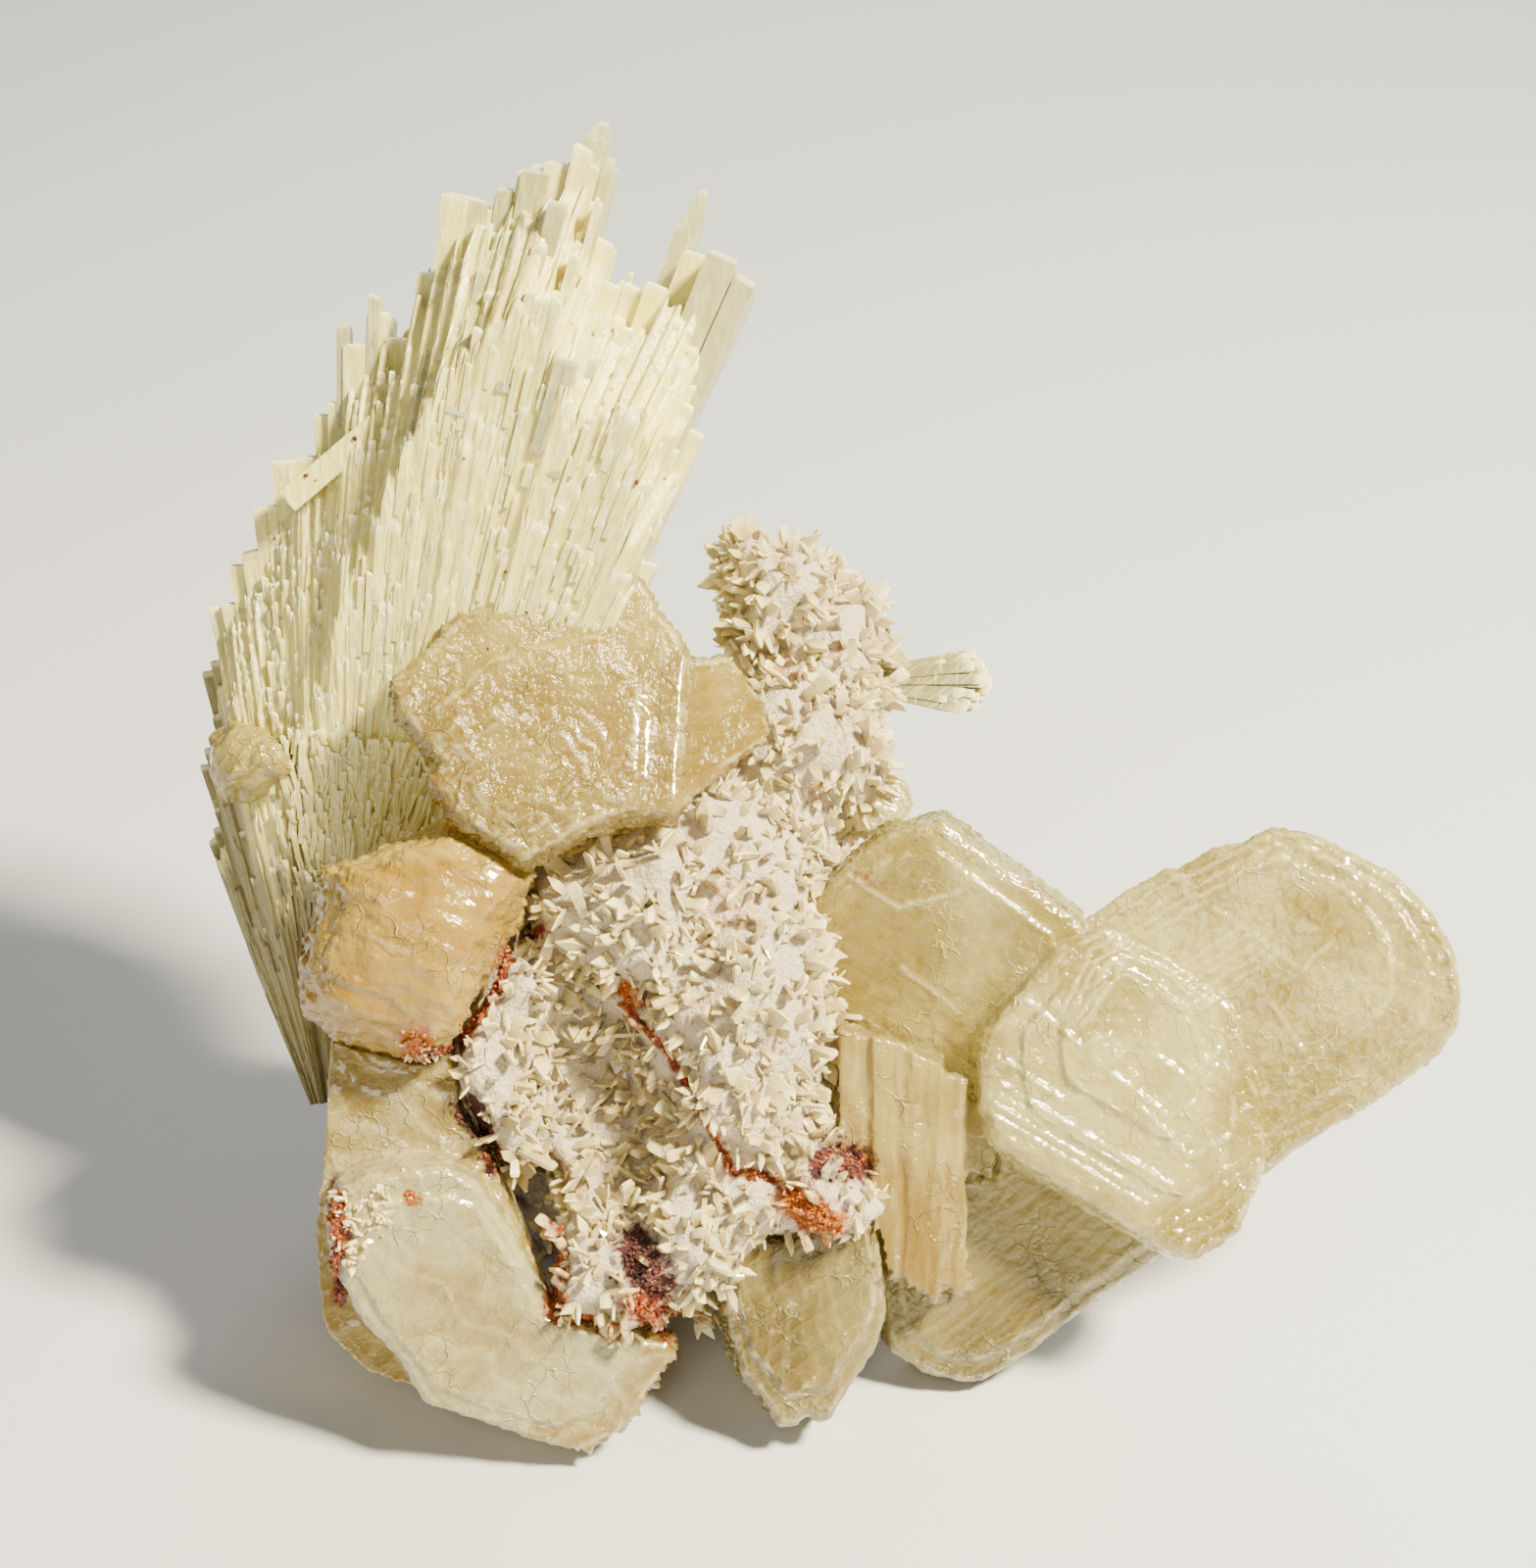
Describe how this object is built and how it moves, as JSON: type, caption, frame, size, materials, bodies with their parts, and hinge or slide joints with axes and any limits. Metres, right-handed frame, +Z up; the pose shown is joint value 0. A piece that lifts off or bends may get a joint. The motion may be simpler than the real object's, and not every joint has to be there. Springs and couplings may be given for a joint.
{
  "type": "scolecite and stilbite mineral specimen",
  "caption": "Cabinet mineral specimen: a fan of white scolecite needles and peach to clear stilbite blades on a druse-covered matrix, resting on its flat cut underside.",
  "frame": {"origin": "middle of the flat cut face under the matrix, on the surface that the specimen rests on", "axes": "+Z up, +Y from the display face to the back, +X to the viewer's right when looking at the display face"},
  "size_m": [0.0862, 0.0487, 0.0785],
  "materials": {
    "druse_crust": "cream druse of small blades with brick-red and orange iron stain",
    "scolecite_white": "silky, finely striated, slightly see-through, cream-white",
    "scolecite_grey": "silky, striated, grey-green",
    "stilbite_peach": "pearly, cloudy peach",
    "stilbite_amber": "glossy, cloudy amber-peach",
    "stilbite_pale": "pearly, cloudy grey-green to beige",
    "stilbite_clear": "glassy to pearly, see-through at the edges, pale honey"
  },
  "bodies": {
    "root": {"matrix_ridge": "druse_crust", "scolecite_spray": "scolecite_white", "lodged_prism": "scolecite_white", "scolecite_back_fan": "scolecite_grey", "stilbite_upper_leaf": "stilbite_peach", "stilbite_left_bun": "stilbite_amber", "stilbite_left_knob": "stilbite_peach", "stilbite_front_left": "stilbite_pale", "stilbite_front_mid": "stilbite_pale", "stilbite_right_twin": "stilbite_clear", "stilbite_right_lower": "stilbite_amber", "stilbite_right_sheaf": "stilbite_peach", "small_glassy_blade": "stilbite_clear"}
  },
  "joints": []
}
